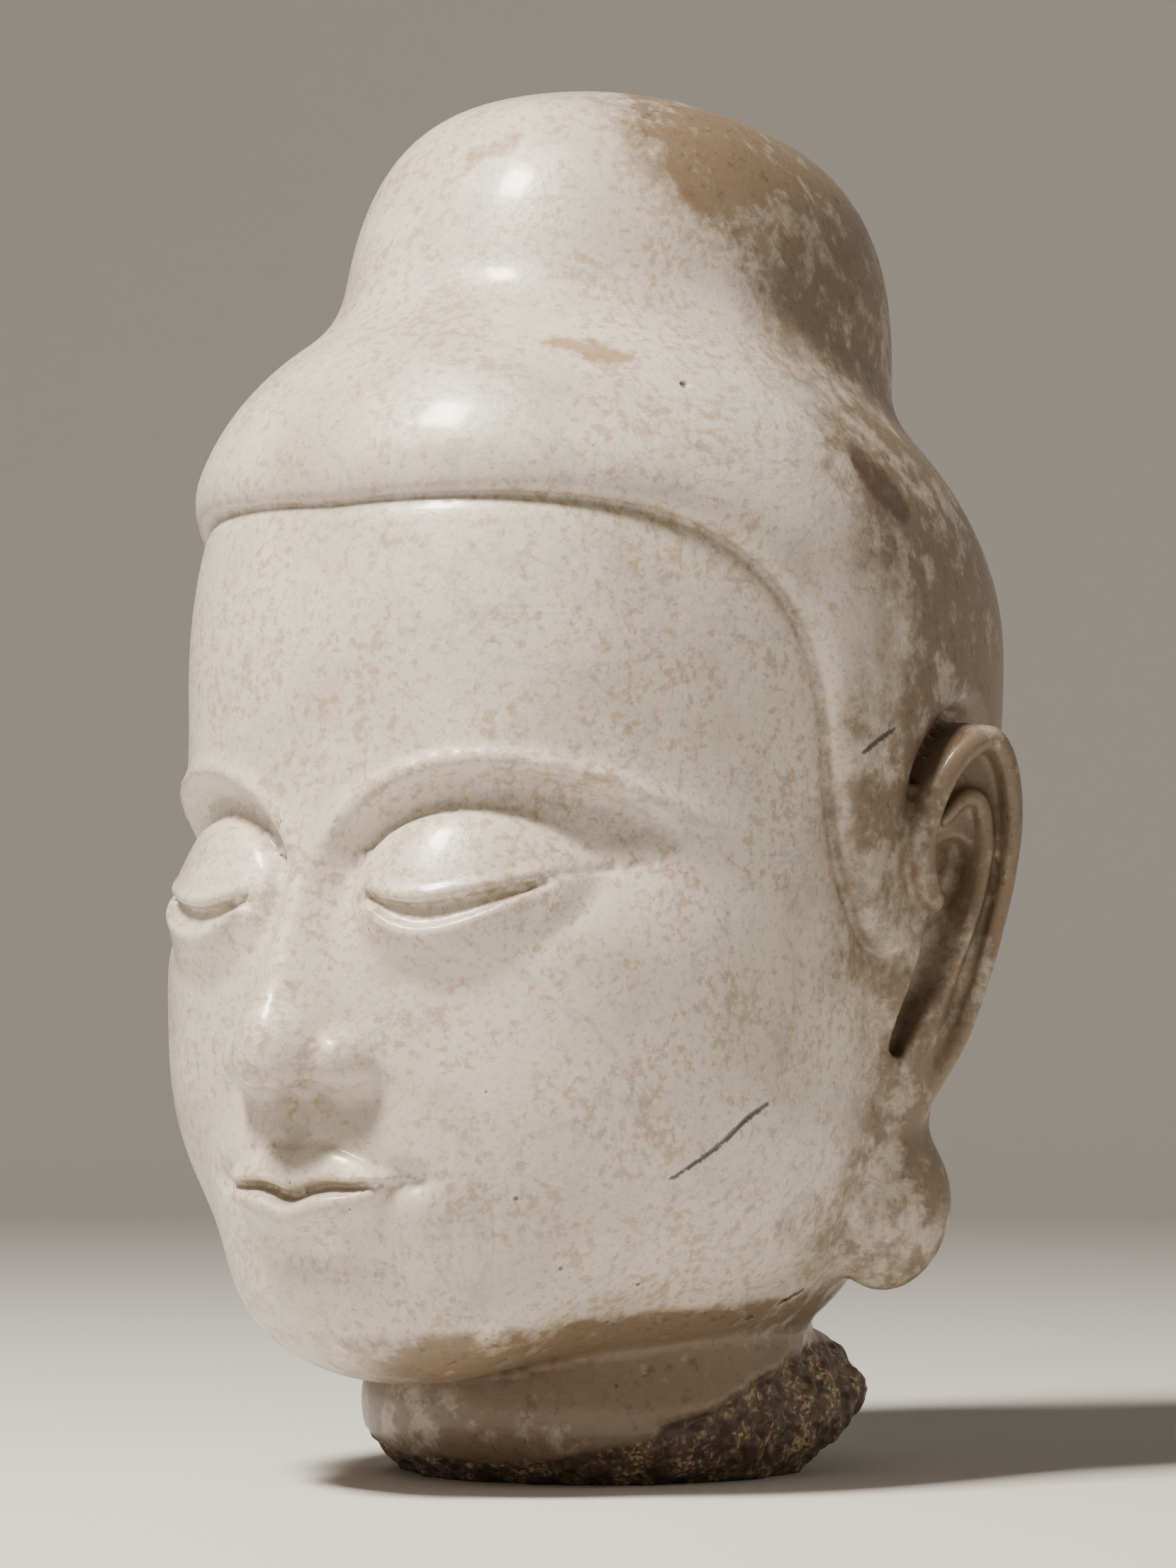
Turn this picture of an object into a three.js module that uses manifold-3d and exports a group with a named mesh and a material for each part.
import * as THREE from "three";
import * as BufferGeometryUtils from "three/addons/utils/BufferGeometryUtils.js";
import Module from "manifold-3d";

// Stone buddha head, one carved piece. Millimetres, +Z up, the face looks to -Y.
// The origin is the middle of the neck's flat underside.

// How finely the head is cut into facets
const HEAD_COLUMNS = 52;
const ROWS_BELOW = 15;
const ROWS_ABOVE = 12;
const HALVINGS = [
  { tolerance: 2.3, onFace: 1, longest: 12 },
  { tolerance: 2.8, onFace: 1, longest: 12 },
  { tolerance: 6, onFace: 1, longest: 12 },
];
const SHORTEST_EDGE = 5;
const SHORTEST_ON_FACE = 3.2;
const FACE_REGION = { side: 84, back: -42, low: 54, high: 176 };

// The line inside the head that the surface is cast out from
const CAST_LOW = new THREE.Vector3(0, -18, 78);
const CAST_HIGH = new THREE.Vector3(0, 14, 262);
const CAST_REACH = 175;
const CAST_QUARTER = 88;
const CAST_ALONG = CAST_HIGH.z - CAST_LOW.z + 2 * CAST_QUARTER;

// Masses of the skull: centre and half sizes
const CRANIUM = { centre: [0, 0, 190], semi: [86, 108, 110], plan: 2.2, upright: 2.2 };
const LOWER_FACE = { centre: [0, -22, 104], semi: [82, 88, 74], plan: 2.35, upright: 2.3 };
const CHIN = { centre: [0, -77, 51], semi: [40, 27, 25] };
const MUZZLE = { centre: [0, -88, 76], semi: [34, 24, 24] };
const JAW_RISE = 0.16;

// Hair cap and the cranial bump above it
const CAP = { centre: [0, 5.5, 212.7], semi: [91, 112, 78.6], plan: 2.2, upright: 2.0, below: 150 };
const CAP_FALL = 0.12;
const BUMP = { centre: [0, 11.7, 255.9], semi: [60.8, 79.5, 83.1], plan: 2.2, upright: 3.25 };
const BUMP_FALL = 0.11;
const BUMP_LEAN = 0.137;
const BUMP_FILLET = 11;
const CREASE_ALONG = { front: 283.5, back: 269 };
const ROWS_TO_CREASE = 5;
const HAIR_OVER_SKULL = 5.5;
const SKULL_FADE = { above: 200, rate: 0.008 };

// Hairline as degrees round from the front and height, down to the tongue before the ear,
// up and over behind the ear, and down to the nape
const HAIRLINE = [
  [0, 230.5], [15, 231.5], [29, 231], [42, 228], [52.5, 222], [61.5, 213], [68, 203], [72.5, 191],
  [76.5, 176], [80, 161], [84, 147.5], [90, 135.5], [97, 127.5], [101.5, 126.5], [103.5, 132],
  [104.5, 144], [105.5, 158], [107, 170], [110, 180], [115.5, 186.5], [121.5, 183],
  [127.5, 170], [133, 150], [138, 120],
  [143.5, 94], [151.5, 82], [163, 77], [180, 75],
];
const HAIRLINE_MM_PER_DEGREE = 1.57;
const ROLL_AT_FOREHEAD = 13;
const ROLL_AT_TEMPLE = 8.5;
const ROLL_ROWS = [0, 0.1, 0.4, 1];

// Face, in three equal parts of 69 and five eye widths of 34.4
const BROW_ARCH = { x: 42, z: 139, halfWidth: 38, halfHeight: 29, depth: 6 };
const EYE = { x: 35.5, z: 141.5, halfWidth: 26, bulge: 8.6, lidLine: 137.2 };
const LID_HALF_HEIGHT = { upper: 18.5, lower: 24 };
const MOUTH = { z: 71.5, halfWidth: 26, upperLift: 8.5, lowerDrop: 12.5 };
const NOSE = { bridgeY: -111, bridgeZ: 152, slope: 0.4, baseZ: 96, rootZ: 176 };
const NOSE_TIP = { centre: [0, -120.5, 104.5], semi: [10, 9.5, 8.6] };
const NOSE_WING = { centre: [13.2, -111.5, 101.5], semi: [7.4, 10, 7.4] };

// Ear: its own upright plane, set out from the head
const EAR_ORIGIN = new THREE.Vector3(88, 24, 120);
const EAR_UP = new THREE.Vector3(0.17, 0.14, 0.975);
const EAR_BACK = new THREE.Vector3(0.39, 0.92, 0);
const EAR_OUTLINE = [
  [-18, 40], [-14, 55], [-5, 61.5], [2, 56], [8, 43], [10, 23], [9.5, 3], [6, -16],
  [2, -33], [10, -44], [14, -56], [11, -68], [2, -74.5], [-8, -70],
  [-13, -54], [-11, -38], [-12.5, -20], [-14.5, 0], [-17, 20],
];
const EAR_HOLLOW = [
  [-10.5, 27], [-9, 32.5], [-4, 34], [-0.8, 28], [-1.2, 14], [-2.2, 2], [-5, -7], [-8.5, -16],
  [-12, -20.5], [-13.8, -14], [-11.5, -4], [-9.5, 8], [-7, 20],
];
const EAR_LOW = -14;
const EAR_FACE = 2;
const EAR_EDGE = 3;
const EAR_HOLLOW_DEPTH = 5.5;
const EAR_ROPES = [
  {
    radius: 3.3,
    steps: 16,
    stops: [[-6, 17.5, 3], [-11.5, 19.5, 3.5], [-16.4, 28, 4], [-17.6, 38, 4.5], [-15.5, 47.5, 4.8],
      [-11.5, 55, 4.8], [-5.5, 59, 4.6], [0, 56, 4.6]],
  },
  {
    radius: 2.4,
    steps: 14,
    stops: [[-1, 57, 4.4], [3.6, 51, 4.4], [6.9, 41.5, 4.4], [8.4, 30, 4.3], [8.6, 16.8, 4.2], [7.8, 3, 4],
      [6, -12, 3], [3.4, -22.7, 1.6], [1, -33, -1]],
  },
  {
    radius: 2.2,
    steps: 14,
    stops: [[-10.5, 38, 2], [-7, 44, 2.5], [-2.4, 44, 3], [1, 36, 3], [2.2, 22, 3], [0.2, 6, 2.6],
      [-2, -9, 2], [-4.2, -22, 1.2], [-4.2, -31, 0.2]],
  },
];
const ROPE_SIDES = 7;
const EAR_OUTLINE_POINTS = 22;
const LOBE = { centre: [2.5, -56.5, -4], semi: [15.5, 19.5, 12.5] };
const LOBE_STEM = { centre: [0.5, -43, -5], semi: [11, 25, 10.5] };
const EAR_ROOT = { centre: [73, 23, 116], semi: [17, 20, 60] };

// Neck and its broken foot
const NECK_CENTRE_Y = 1;
const NECK_COLUMNS = 40;
const NECK_PROFILE = [[0, 47], [3, 50], [9, 54], [17, 56.5], [27, 55.5], [38, 54.5], [52, 54], [70, 52]];
const NECK_TOP = 92;
const REAR_MASS = { reach: 13, height: 17, spread: 11, halfAngle: 62 };
const REAR_GROOVE = { depth: 4.5, halfAngle: 7 };
const BREAK_HEIGHT = 30;
const BREAK_ROUGHNESS = 1.9;

function clamp01(value) {
  return Math.min(Math.max(value, 0), 1);
}

function smoothStep(from, to, value) {
  const t = clamp01((value - from) / (to - from));
  return t * t * (3 - 2 * t);
}

function bell(value, middle, width) {
  return Math.exp(-(((value - middle) / width) ** 2));
}

// Union of two distances with a fillet of the given size
function blend(a, b, fillet) {
  const h = clamp01(0.5 + (0.5 * (b - a)) / fillet);
  return b * (1 - h) + a * h - fillet * h * (1 - h);
}

function carve(a, b, fillet) {
  return -blend(-a, -b, fillet);
}

function superEllipsoid(x, y, z, body) {
  const dx = x - body.centre[0];
  const dy = y - body.centre[1];
  const dz = z - body.centre[2];
  const upper = dz < 0 && body.below ? body.below : body.semi[2];
  const across = Math.abs(dx / body.semi[0]) ** body.plan + Math.abs(dy / body.semi[1]) ** body.plan;
  const round = across ** (body.upright / body.plan) + Math.abs(dz / upper) ** body.upright;
  const gauge = round ** (1 / body.upright);
  return Math.hypot(dx, dy, dz) * (1 - 1 / Math.max(gauge, 1e-6));
}

function ellipsoid(x, y, z, body) {
  const dx = x - body.centre[0];
  const dy = y - body.centre[1];
  const dz = z - body.centre[2];
  const near = Math.hypot(dx / body.semi[0], dy / body.semi[1], dz / body.semi[2]);
  const far = Math.hypot(dx / body.semi[0] ** 2, dy / body.semi[1] ** 2, dz / body.semi[2] ** 2);
  return (near * (near - 1)) / Math.max(far, 1e-9);
}

function skull(x, y, z) {
  const cranium = superEllipsoid(x, y, z, CRANIUM);
  const lower = superEllipsoid(x, y, z + JAW_RISE * (y + 60), LOWER_FACE);
  const mass = blend(cranium, lower, 30);
  const withChin = blend(mass, ellipsoid(x, y, z, CHIN), 26);
  return blend(withChin, ellipsoid(x, y, z, MUZZLE), 16);
}

// How far the brows, lids and lips stand out of the plain face
function faceRelief(x, z) {
  const side = Math.abs(x);
  const across = (side - BROW_ARCH.x) / BROW_ARCH.halfWidth;
  const arch = Math.hypot(across, (z - BROW_ARCH.z) / BROW_ARCH.halfHeight);
  const socket = -BROW_ARCH.depth * smoothStep(1.12, 0.78, arch) * smoothStep(122, 152, z);
  const brow = 1.4 * bell(arch, 1.14, 0.12) * smoothStep(138, 158, z) * smoothStep(86, 66, side);
  const lidHeight = z < EYE.z ? LID_HALF_HEIGHT.lower : LID_HALF_HEIGHT.upper;
  const lidRound = ((side - EYE.x) / EYE.halfWidth) ** 2 + ((z - EYE.z) / lidHeight) ** 2;
  const ball = clamp01(1 - lidRound);
  const lidShare = THREE.MathUtils.lerp(0.72 * smoothStep(0, 1, ball), ball ** 0.7, smoothStep(126, 142, z));
  const lid = EYE.bulge * lidShare;
  const lidLine = EYE.lidLine + 0.36 * (Math.hypot(side - 32, 9.5) - 9.5);
  const slit = -1.6 * bell(z, lidLine - 3, 3) * smoothStep(21, 12, Math.abs(side - EYE.x));
  const share = Math.min(side / MOUTH.halfWidth, 1);
  const parting = MOUTH.z + 2.2 * share ** 2;
  const upperEdge = parting + 3 + MOUTH.upperLift * (1 - share ** 1.5);
  const lowerEdge = parting - 0.5 - MOUTH.lowerDrop * Math.sqrt(1 - share ** 2.2);
  const taper = (1 - share ** 2) ** 0.4;
  const above = (z - parting) / (upperEdge - parting);
  const below = (parting - z) / (parting - lowerEdge);
  const upper = 4.4 * taper * smoothStep(-0.1, 0.25, above) * smoothStep(1.15, 0.7, above);
  const lower = 5.8 * taper * smoothStep(0, 0.35, below) * smoothStep(1.15, 0.45, below);
  const dip = -2.2 * bell(side, 0, 16) * bell(z, 56, 4.5);
  return socket + brow + lid + slit + upper + lower + dip;
}

function nose(x, y, z) {
  const bridge = NOSE.bridgeY - NOSE.slope * (NOSE.bridgeZ - z);
  const sides = 1.55 - 0.4 * smoothStep(150, 108, z);
  const ridge = (bridge + sides * (Math.hypot(x, 3) - 3) - y) / Math.hypot(1, sides);
  const based = carve(ridge, NOSE.baseZ - z, 7);
  const rooted = carve(based, z - NOSE.rootZ, 6);
  const fronted = carve(rooted, -y - 131.5, 6);
  const tipped = blend(fronted, ellipsoid(x, y, z, NOSE_TIP), 6);
  const winged = blend(tipped, ellipsoid(Math.abs(x), y, z, NOSE_WING), 2.6);
  return Math.max(winged, y + 60);
}

function skin(x, y, z) {
  const plain = skull(x, y, z) - faceRelief(x, z) * smoothStep(-20, -55, y);
  return blend(plain, nose(x, y, z), 3.5);
}

function hair(x, y, z) {
  const cap = superEllipsoid(x, y, z + CAP_FALL * y, CAP);
  const fallen = z + BUMP_FALL * (y - BUMP.centre[1]);
  const leaning = y - BUMP_LEAN * (z - CAST_HIGH.z);
  const bump = superEllipsoid(x, leaning, fallen, BUMP);
  const crown = blend(cap, bump, BUMP_FILLET);
  const fade = SKULL_FADE.rate * Math.max(z - SKULL_FADE.above, 0) ** 2;
  return blend(crown, skull(x, y, z) - HAIR_OVER_SKULL + fade, 4);
}

// Moves a point onto a surface along the slope of its distance
function settle(surface, point) {
  const e = 0.2;
  for (let step = 0; step < 4; step += 1) {
    const { x, y, z } = point;
    const slope = new THREE.Vector3(
      surface(x + e, y, z) - surface(x - e, y, z),
      surface(x, y + e, z) - surface(x, y - e, z),
      surface(x, y, z + e) - surface(x, y, z - e),
    ).divideScalar(2 * e);
    const gap = THREE.MathUtils.clamp(surface(x, y, z), -4, 4);
    point.addScaledVector(slope, -gap / Math.max(slope.lengthSq(), 0.25));
  }
  return point;
}

// A ray from the line inside the head: round from the front in radians, and how far up.
// Between the line's two ends the ray is level, and beyond them it tilts down or up.
function rayFrom(azimuth, along) {
  const middle = CAST_HIGH.z - CAST_LOW.z;
  const below = Math.min(along / CAST_QUARTER - 1, 0);
  const above = Math.max((along - CAST_QUARTER - middle) / CAST_QUARTER, 0);
  const lift = ((below + above) * Math.PI) / 2;
  const ahead = Math.cos(lift);
  return {
    start: CAST_LOW.clone().lerp(CAST_HIGH, clamp01((along - CAST_QUARTER) / middle)),
    out: new THREE.Vector3(Math.sin(azimuth) * ahead, -Math.cos(azimuth) * ahead, Math.sin(lift)),
  };
}

// How far along the ray the outermost surface lies
function reachOf(surface, ray) {
  let reach = CAST_REACH;
  for (let step = 0; step < 60; step += 1) {
    const place = ray.start.clone().addScaledVector(ray.out, reach);
    reach -= surface(place.x, place.y, place.z) * 0.7;
  }
  return reach;
}

// Width of the rounded edge of the hair at a height
function rollWidth(z) {
  const tongue = smoothStep(175, 150, z) * smoothStep(100, 120, z);
  return THREE.MathUtils.lerp(ROLL_AT_TEMPLE, ROLL_AT_FOREHEAD, smoothStep(205, 230, z)) - 2 * tongue;
}

// The hairline from the front to the nape, unrolled into millimetres round and up
const HAIR_CURVE = new THREE.SplineCurve(
  HAIRLINE.map(([turn, z]) => new THREE.Vector2(turn * HAIRLINE_MM_PER_DEGREE, z)),
);

// One corner of the coarse head. Rows run from the neck up to the hairline, over the
// rolled edge of the hair, and on to the crown.
function coarseCorner(column, row) {
  const half = HEAD_COLUMNS / 2;
  const side = column <= half ? 1 : -1;
  const share = 1 - Math.abs(1 - column / half);
  const edge = HAIR_CURVE.getPointAt(share);
  const inward = HAIR_CURVE.getTangentAt(share).rotateAround(new THREE.Vector2(), Math.PI / 2);
  const rolled = ROLL_ROWS[THREE.MathUtils.clamp(row - ROWS_BELOW, 0, ROLL_ROWS.length - 1)];
  const place = edge.addScaledVector(inward, rolled * rollWidth(edge.y));
  const azimuth = THREE.MathUtils.degToRad(place.x / HAIRLINE_MM_PER_DEGREE);
  const level = CAST_QUARTER + place.y - CAST_LOW.z;
  const under = Math.max(1 - row / ROWS_BELOW, 0);
  const over = Math.max(row - ROWS_BELOW - ROLL_ROWS.length + 1, 0) / ROWS_ABOVE;
  const toCrease = ROWS_TO_CREASE / ROWS_ABOVE;
  const evened = smoothStep(0, under > 0 ? 0.7 : toCrease, under + over);
  const spread = THREE.MathUtils.lerp(azimuth, Math.PI * share, evened);
  const forward = 0.5 + 0.5 * Math.cos(spread);
  const crease = THREE.MathUtils.lerp(CREASE_ALONG.back, CREASE_ALONG.front, forward);
  const lower = THREE.MathUtils.lerp(level * (1 - under), crease, clamp01(over / toCrease));
  const along = THREE.MathUtils.lerp(lower, CAST_ALONG, clamp01((over - toCrease) / (1 - toCrease)));
  const ray = rayFrom(side * spread, along);
  const bare = reachOf(skin, ray);
  const full = rolled > 0 ? Math.max(reachOf(hair, ray), bare) : bare;
  const reach = bare + (full - bare) * Math.sqrt(1 - (1 - rolled) ** 2);
  const end = ray.start.addScaledVector(ray.out, reach);
  const surface = rolled === 1 ? hair : rolled > 0 ? null : skin;
  return { end, surface };
}

function onFace(point) {
  return Math.abs(point.x) < FACE_REGION.side && point.y < FACE_REGION.back
    && point.z > FACE_REGION.low && point.z < FACE_REGION.high;
}

// Halves the edges of every facet that strays from its surface or is too long for the face
function halveFacets(corners, places, surfaces, halving) {
  const middles = new Map();
  const keyOf = (a, b) => (a < b ? `${a}_${b}` : `${b}_${a}`);
  const surfaceOf = (a, b) => (surfaces[a] === surfaces[b] ? surfaces[a] : null);
  const middleOf = (a, b) => {
    const flat = places[a].clone().add(places[b]).multiplyScalar(0.5);
    const surface = surfaceOf(a, b);
    return surface ? settle(surface, flat) : flat;
  };
  const strays = (a, b) => {
    const long = places[a].distanceTo(places[b]);
    const flat = places[a].clone().add(places[b]).multiplyScalar(0.5);
    if (surfaceOf(a, b) === null || long < SHORTEST_ON_FACE) {
      return false;
    }
    const stray = middleOf(a, b).distanceTo(flat);
    if (onFace(flat)) {
      return long > halving.longest || stray > halving.onFace;
    }
    return long > SHORTEST_EDGE && stray > halving.tolerance;
  };
  const split = (a, b) => {
    if (!middles.has(keyOf(a, b))) {
      surfaces.push(surfaceOf(a, b));
      middles.set(keyOf(a, b), places.push(middleOf(a, b)) - 1);
    }
  };
  for (let i = 0; i < corners.length; i += 3) {
    const [a, b, c] = corners.slice(i, i + 3);
    if (strays(a, b) || strays(b, c) || strays(c, a)) {
      split(a, b);
      split(b, c);
      split(c, a);
    }
  }
  const finer = [];
  for (let i = 0; i < corners.length; i += 3) {
    let [a, b, c] = corners.slice(i, i + 3);
    let marks = [middles.get(keyOf(a, b)), middles.get(keyOf(b, c)), middles.get(keyOf(c, a))];
    const count = marks.filter((mark) => mark !== undefined).length;
    while (count > 0 && count < 3 && (count === 1 ? marks[0] === undefined : marks[2] !== undefined)) {
      [a, b, c] = [b, c, a];
      marks = [marks[1], marks[2], marks[0]];
    }
    const [ab, bc, ca] = marks;
    if (count === 0) {
      finer.push(a, b, c);
    } else if (count === 1) {
      finer.push(a, ab, c, ab, b, c);
    } else if (count === 2) {
      finer.push(ab, b, bc, a, ab, bc, a, bc, c);
    } else {
      finer.push(a, ab, ca, ab, b, bc, ca, bc, c, ab, bc, ca);
    }
  }
  return finer;
}

function headGeometry() {
  const rows = ROWS_BELOW + ROLL_ROWS.length - 1 + ROWS_ABOVE;
  const sphere = new THREE.SphereGeometry(1, HEAD_COLUMNS, rows);
  const places = [];
  const surfaces = [];
  for (let i = 0; i < sphere.attributes.position.count; i += 1) {
    const row = rows - Math.floor(i / (HEAD_COLUMNS + 1));
    const { end, surface } = coarseCorner((i % (HEAD_COLUMNS + 1)) % HEAD_COLUMNS, row);
    places.push(end);
    surfaces.push(surface);
  }
  const first = new Map();
  const same = places.map((place, i) => {
    const key = place.toArray().map((value) => value.toFixed(3)).join();
    first.set(key, first.get(key) ?? i);
    return first.get(key);
  });
  let corners = Array.from(sphere.index.array, (i) => same[i]);
  corners = corners.filter((_, i) => {
    const [a, b, c] = corners.slice(i - (i % 3), i - (i % 3) + 3);
    return a !== b && b !== c && c !== a;
  });
  for (const halving of HALVINGS) {
    corners = halveFacets(corners, places, surfaces, halving);
  }
  const geometry = new THREE.BufferGeometry().setFromPoints(places);
  geometry.setIndex(corners);
  return geometry;
}

// Turns the ear's own plane (back, up, out) into the head's frame, on either side
function earMatrix(side) {
  const up = EAR_UP.clone().normalize();
  const back = EAR_BACK.clone().addScaledVector(up, -EAR_BACK.dot(up)).normalize();
  const out = new THREE.Vector3().crossVectors(back, up);
  const matrix = new THREE.Matrix4().makeBasis(back, up, out).setPosition(EAR_ORIGIN);
  return new THREE.Matrix4().makeScale(side, 1, 1).multiply(matrix);
}

function outlineShape(points) {
  const curve = new THREE.SplineCurve([...points, points[0]].map(([u, v]) => new THREE.Vector2(u, v)));
  return new THREE.Shape(curve.getSpacedPoints(EAR_OUTLINE_POINTS).slice(0, -1));
}

function slab(points, low, high, edge) {
  const geometry = new THREE.ExtrudeGeometry(outlineShape(points), {
    depth: high - low - 2 * edge,
    bevelEnabled: true,
    bevelThickness: edge,
    bevelSize: edge,
    bevelOffset: -edge,
    bevelSegments: 2,
    steps: 1,
  });
  geometry.translate(0, 0, low + edge);
  return geometry;
}

function ball(body, columns, rows) {
  const geometry = new THREE.SphereGeometry(1, columns, rows);
  geometry.scale(...body.semi);
  geometry.translate(...body.centre);
  return geometry;
}

// Radius of the neck at a height, round from the front in radians
function neckRadius(turn, z, plain) {
  const around = THREE.MathUtils.radToDeg(Math.abs(Math.atan2(Math.sin(turn), Math.cos(turn))));
  const toRear = 180 - around;
  const rear = smoothStep(REAR_MASS.halfAngle + 22, REAR_MASS.halfAngle - 8, toRear);
  const flare = REAR_MASS.reach * rear * bell(z, REAR_MASS.height, REAR_MASS.spread);
  const groove = REAR_GROOVE.depth * bell(toRear, 0, REAR_GROOVE.halfAngle) * smoothStep(60, 40, z);
  const broken = smoothStep(BREAK_HEIGHT + 6, BREAK_HEIGHT - 8, z);
  const large = Math.sin(7 * turn + 0.21 * z);
  const small = 0.7 * Math.sin(13 * turn - 0.33 * z + 1.7) + 0.5 * Math.sin(19 * turn + z);
  return plain + flare - groove + BREAK_ROUGHNESS * broken * 0.5 * (large + small);
}

function neckGeometry() {
  const wall = NECK_PROFILE.map(([z, radius]) => new THREE.Vector2(radius, z));
  const profile = [new THREE.Vector2(0, 0), ...wall, new THREE.Vector2(0, NECK_TOP)];
  const geometry = new THREE.LatheGeometry(profile, NECK_COLUMNS);
  const position = geometry.attributes.position;
  for (let i = 0; i < position.count; i += 1) {
    const plain = Math.hypot(position.getX(i), position.getZ(i));
    const z = position.getY(i);
    const column = Math.floor(i / profile.length) % NECK_COLUMNS;
    const turn = (2 * Math.PI * column) / NECK_COLUMNS;
    const radius = plain < 1e-6 ? 0 : neckRadius(turn, z, plain);
    position.setXYZ(i, Math.sin(turn) * radius, NECK_CENTRE_Y - Math.cos(turn) * radius, z);
  }
  return geometry;
}

const manifoldModule = await Module();
manifoldModule.setup();
const { Manifold, Mesh } = manifoldModule;

function signedVolume(at, corners) {
  const [a, b, c] = [new THREE.Vector3(), new THREE.Vector3(), new THREE.Vector3()];
  let volume = 0;
  for (let i = 0; i < corners.length; i += 3) {
    a.fromBufferAttribute(at, corners[i]);
    b.fromBufferAttribute(at, corners[i + 1]);
    c.fromBufferAttribute(at, corners[i + 2]);
    volume += a.dot(b.cross(c)) / 6;
  }
  return volume;
}

// A closed solid from a geometry, its faces turned outward
function solidOf(geometry) {
  geometry.deleteAttribute("normal");
  geometry.deleteAttribute("uv");
  const merged = BufferGeometryUtils.mergeVertices(geometry, 1e-4);
  const at = merged.attributes.position;
  const corners = Array.from(merged.index.array);
  const outward = signedVolume(at, corners) > 0;
  const kept = [];
  for (let i = 0; i < corners.length; i += 3) {
    const [a, b, c] = corners.slice(i, i + 3);
    if (a !== b && b !== c && c !== a) {
      kept.push(a, outward ? b : c, outward ? c : b);
    }
  }
  return new Manifold(new Mesh({ numProp: 3, vertProperties: at.array, triVerts: new Uint32Array(kept) }));
}

function geometryOf(solid) {
  const mesh = solid.getMesh();
  const geometry = new THREE.BufferGeometry();
  geometry.setAttribute("position", new THREE.BufferAttribute(mesh.vertProperties, 3));
  geometry.setIndex(new THREE.BufferAttribute(mesh.triVerts, 1));
  geometry.computeVertexNormals();
  return geometry;
}

function earPart(geometry, side) {
  geometry.applyMatrix4(earMatrix(side));
  return solidOf(geometry);
}

// A round rope along the ear's rim or inner ridge, with flat ends
function rope({ radius, steps, stops }) {
  const section = new THREE.Shape();
  section.absarc(0, 0, radius, 0, 2 * Math.PI);
  const path = new THREE.CatmullRomCurve3(stops.map((stop) => new THREE.Vector3(...stop)));
  const outline = new THREE.Shape(section.getSpacedPoints(ROPE_SIDES).slice(0, -1));
  return new THREE.ExtrudeGeometry(outline, { steps, bevelEnabled: false, extrudePath: path });
}

function earSolid(side) {
  const plate = earPart(slab(EAR_OUTLINE, EAR_LOW, EAR_FACE, EAR_EDGE), side);
  const lobe = earPart(ball(LOBE, 16, 11), side).add(earPart(ball(LOBE_STEM, 12, 8), side));
  const hollow = earPart(slab(EAR_HOLLOW, EAR_FACE - EAR_HOLLOW_DEPTH, 8, 1), side);
  const rootBall = ball(EAR_ROOT, 10, 8).scale(side, 1, 1);
  const massed = solidOf(rootBall).add(plate).add(lobe).subtract(hollow);
  return EAR_ROPES.reduce((ear, stops) => ear.add(earPart(rope(stops), side)), massed);
}

function buddhaHead() {
  const body = solidOf(headGeometry());
  const neck = solidOf(neckGeometry());
  return body.add(neck).add(earSolid(1)).add(earSolid(-1));
}

const marble = new THREE.MeshStandardMaterial({ color: 0xe6e0d4, roughness: 0.45, metalness: 0 });
const headMesh = new THREE.Mesh(geometryOf(buddhaHead()), marble);
headMesh.name = "buddha_head";

const group = new THREE.Group();
group.name = "stone_buddha_head";
group.add(headMesh);

export default group;
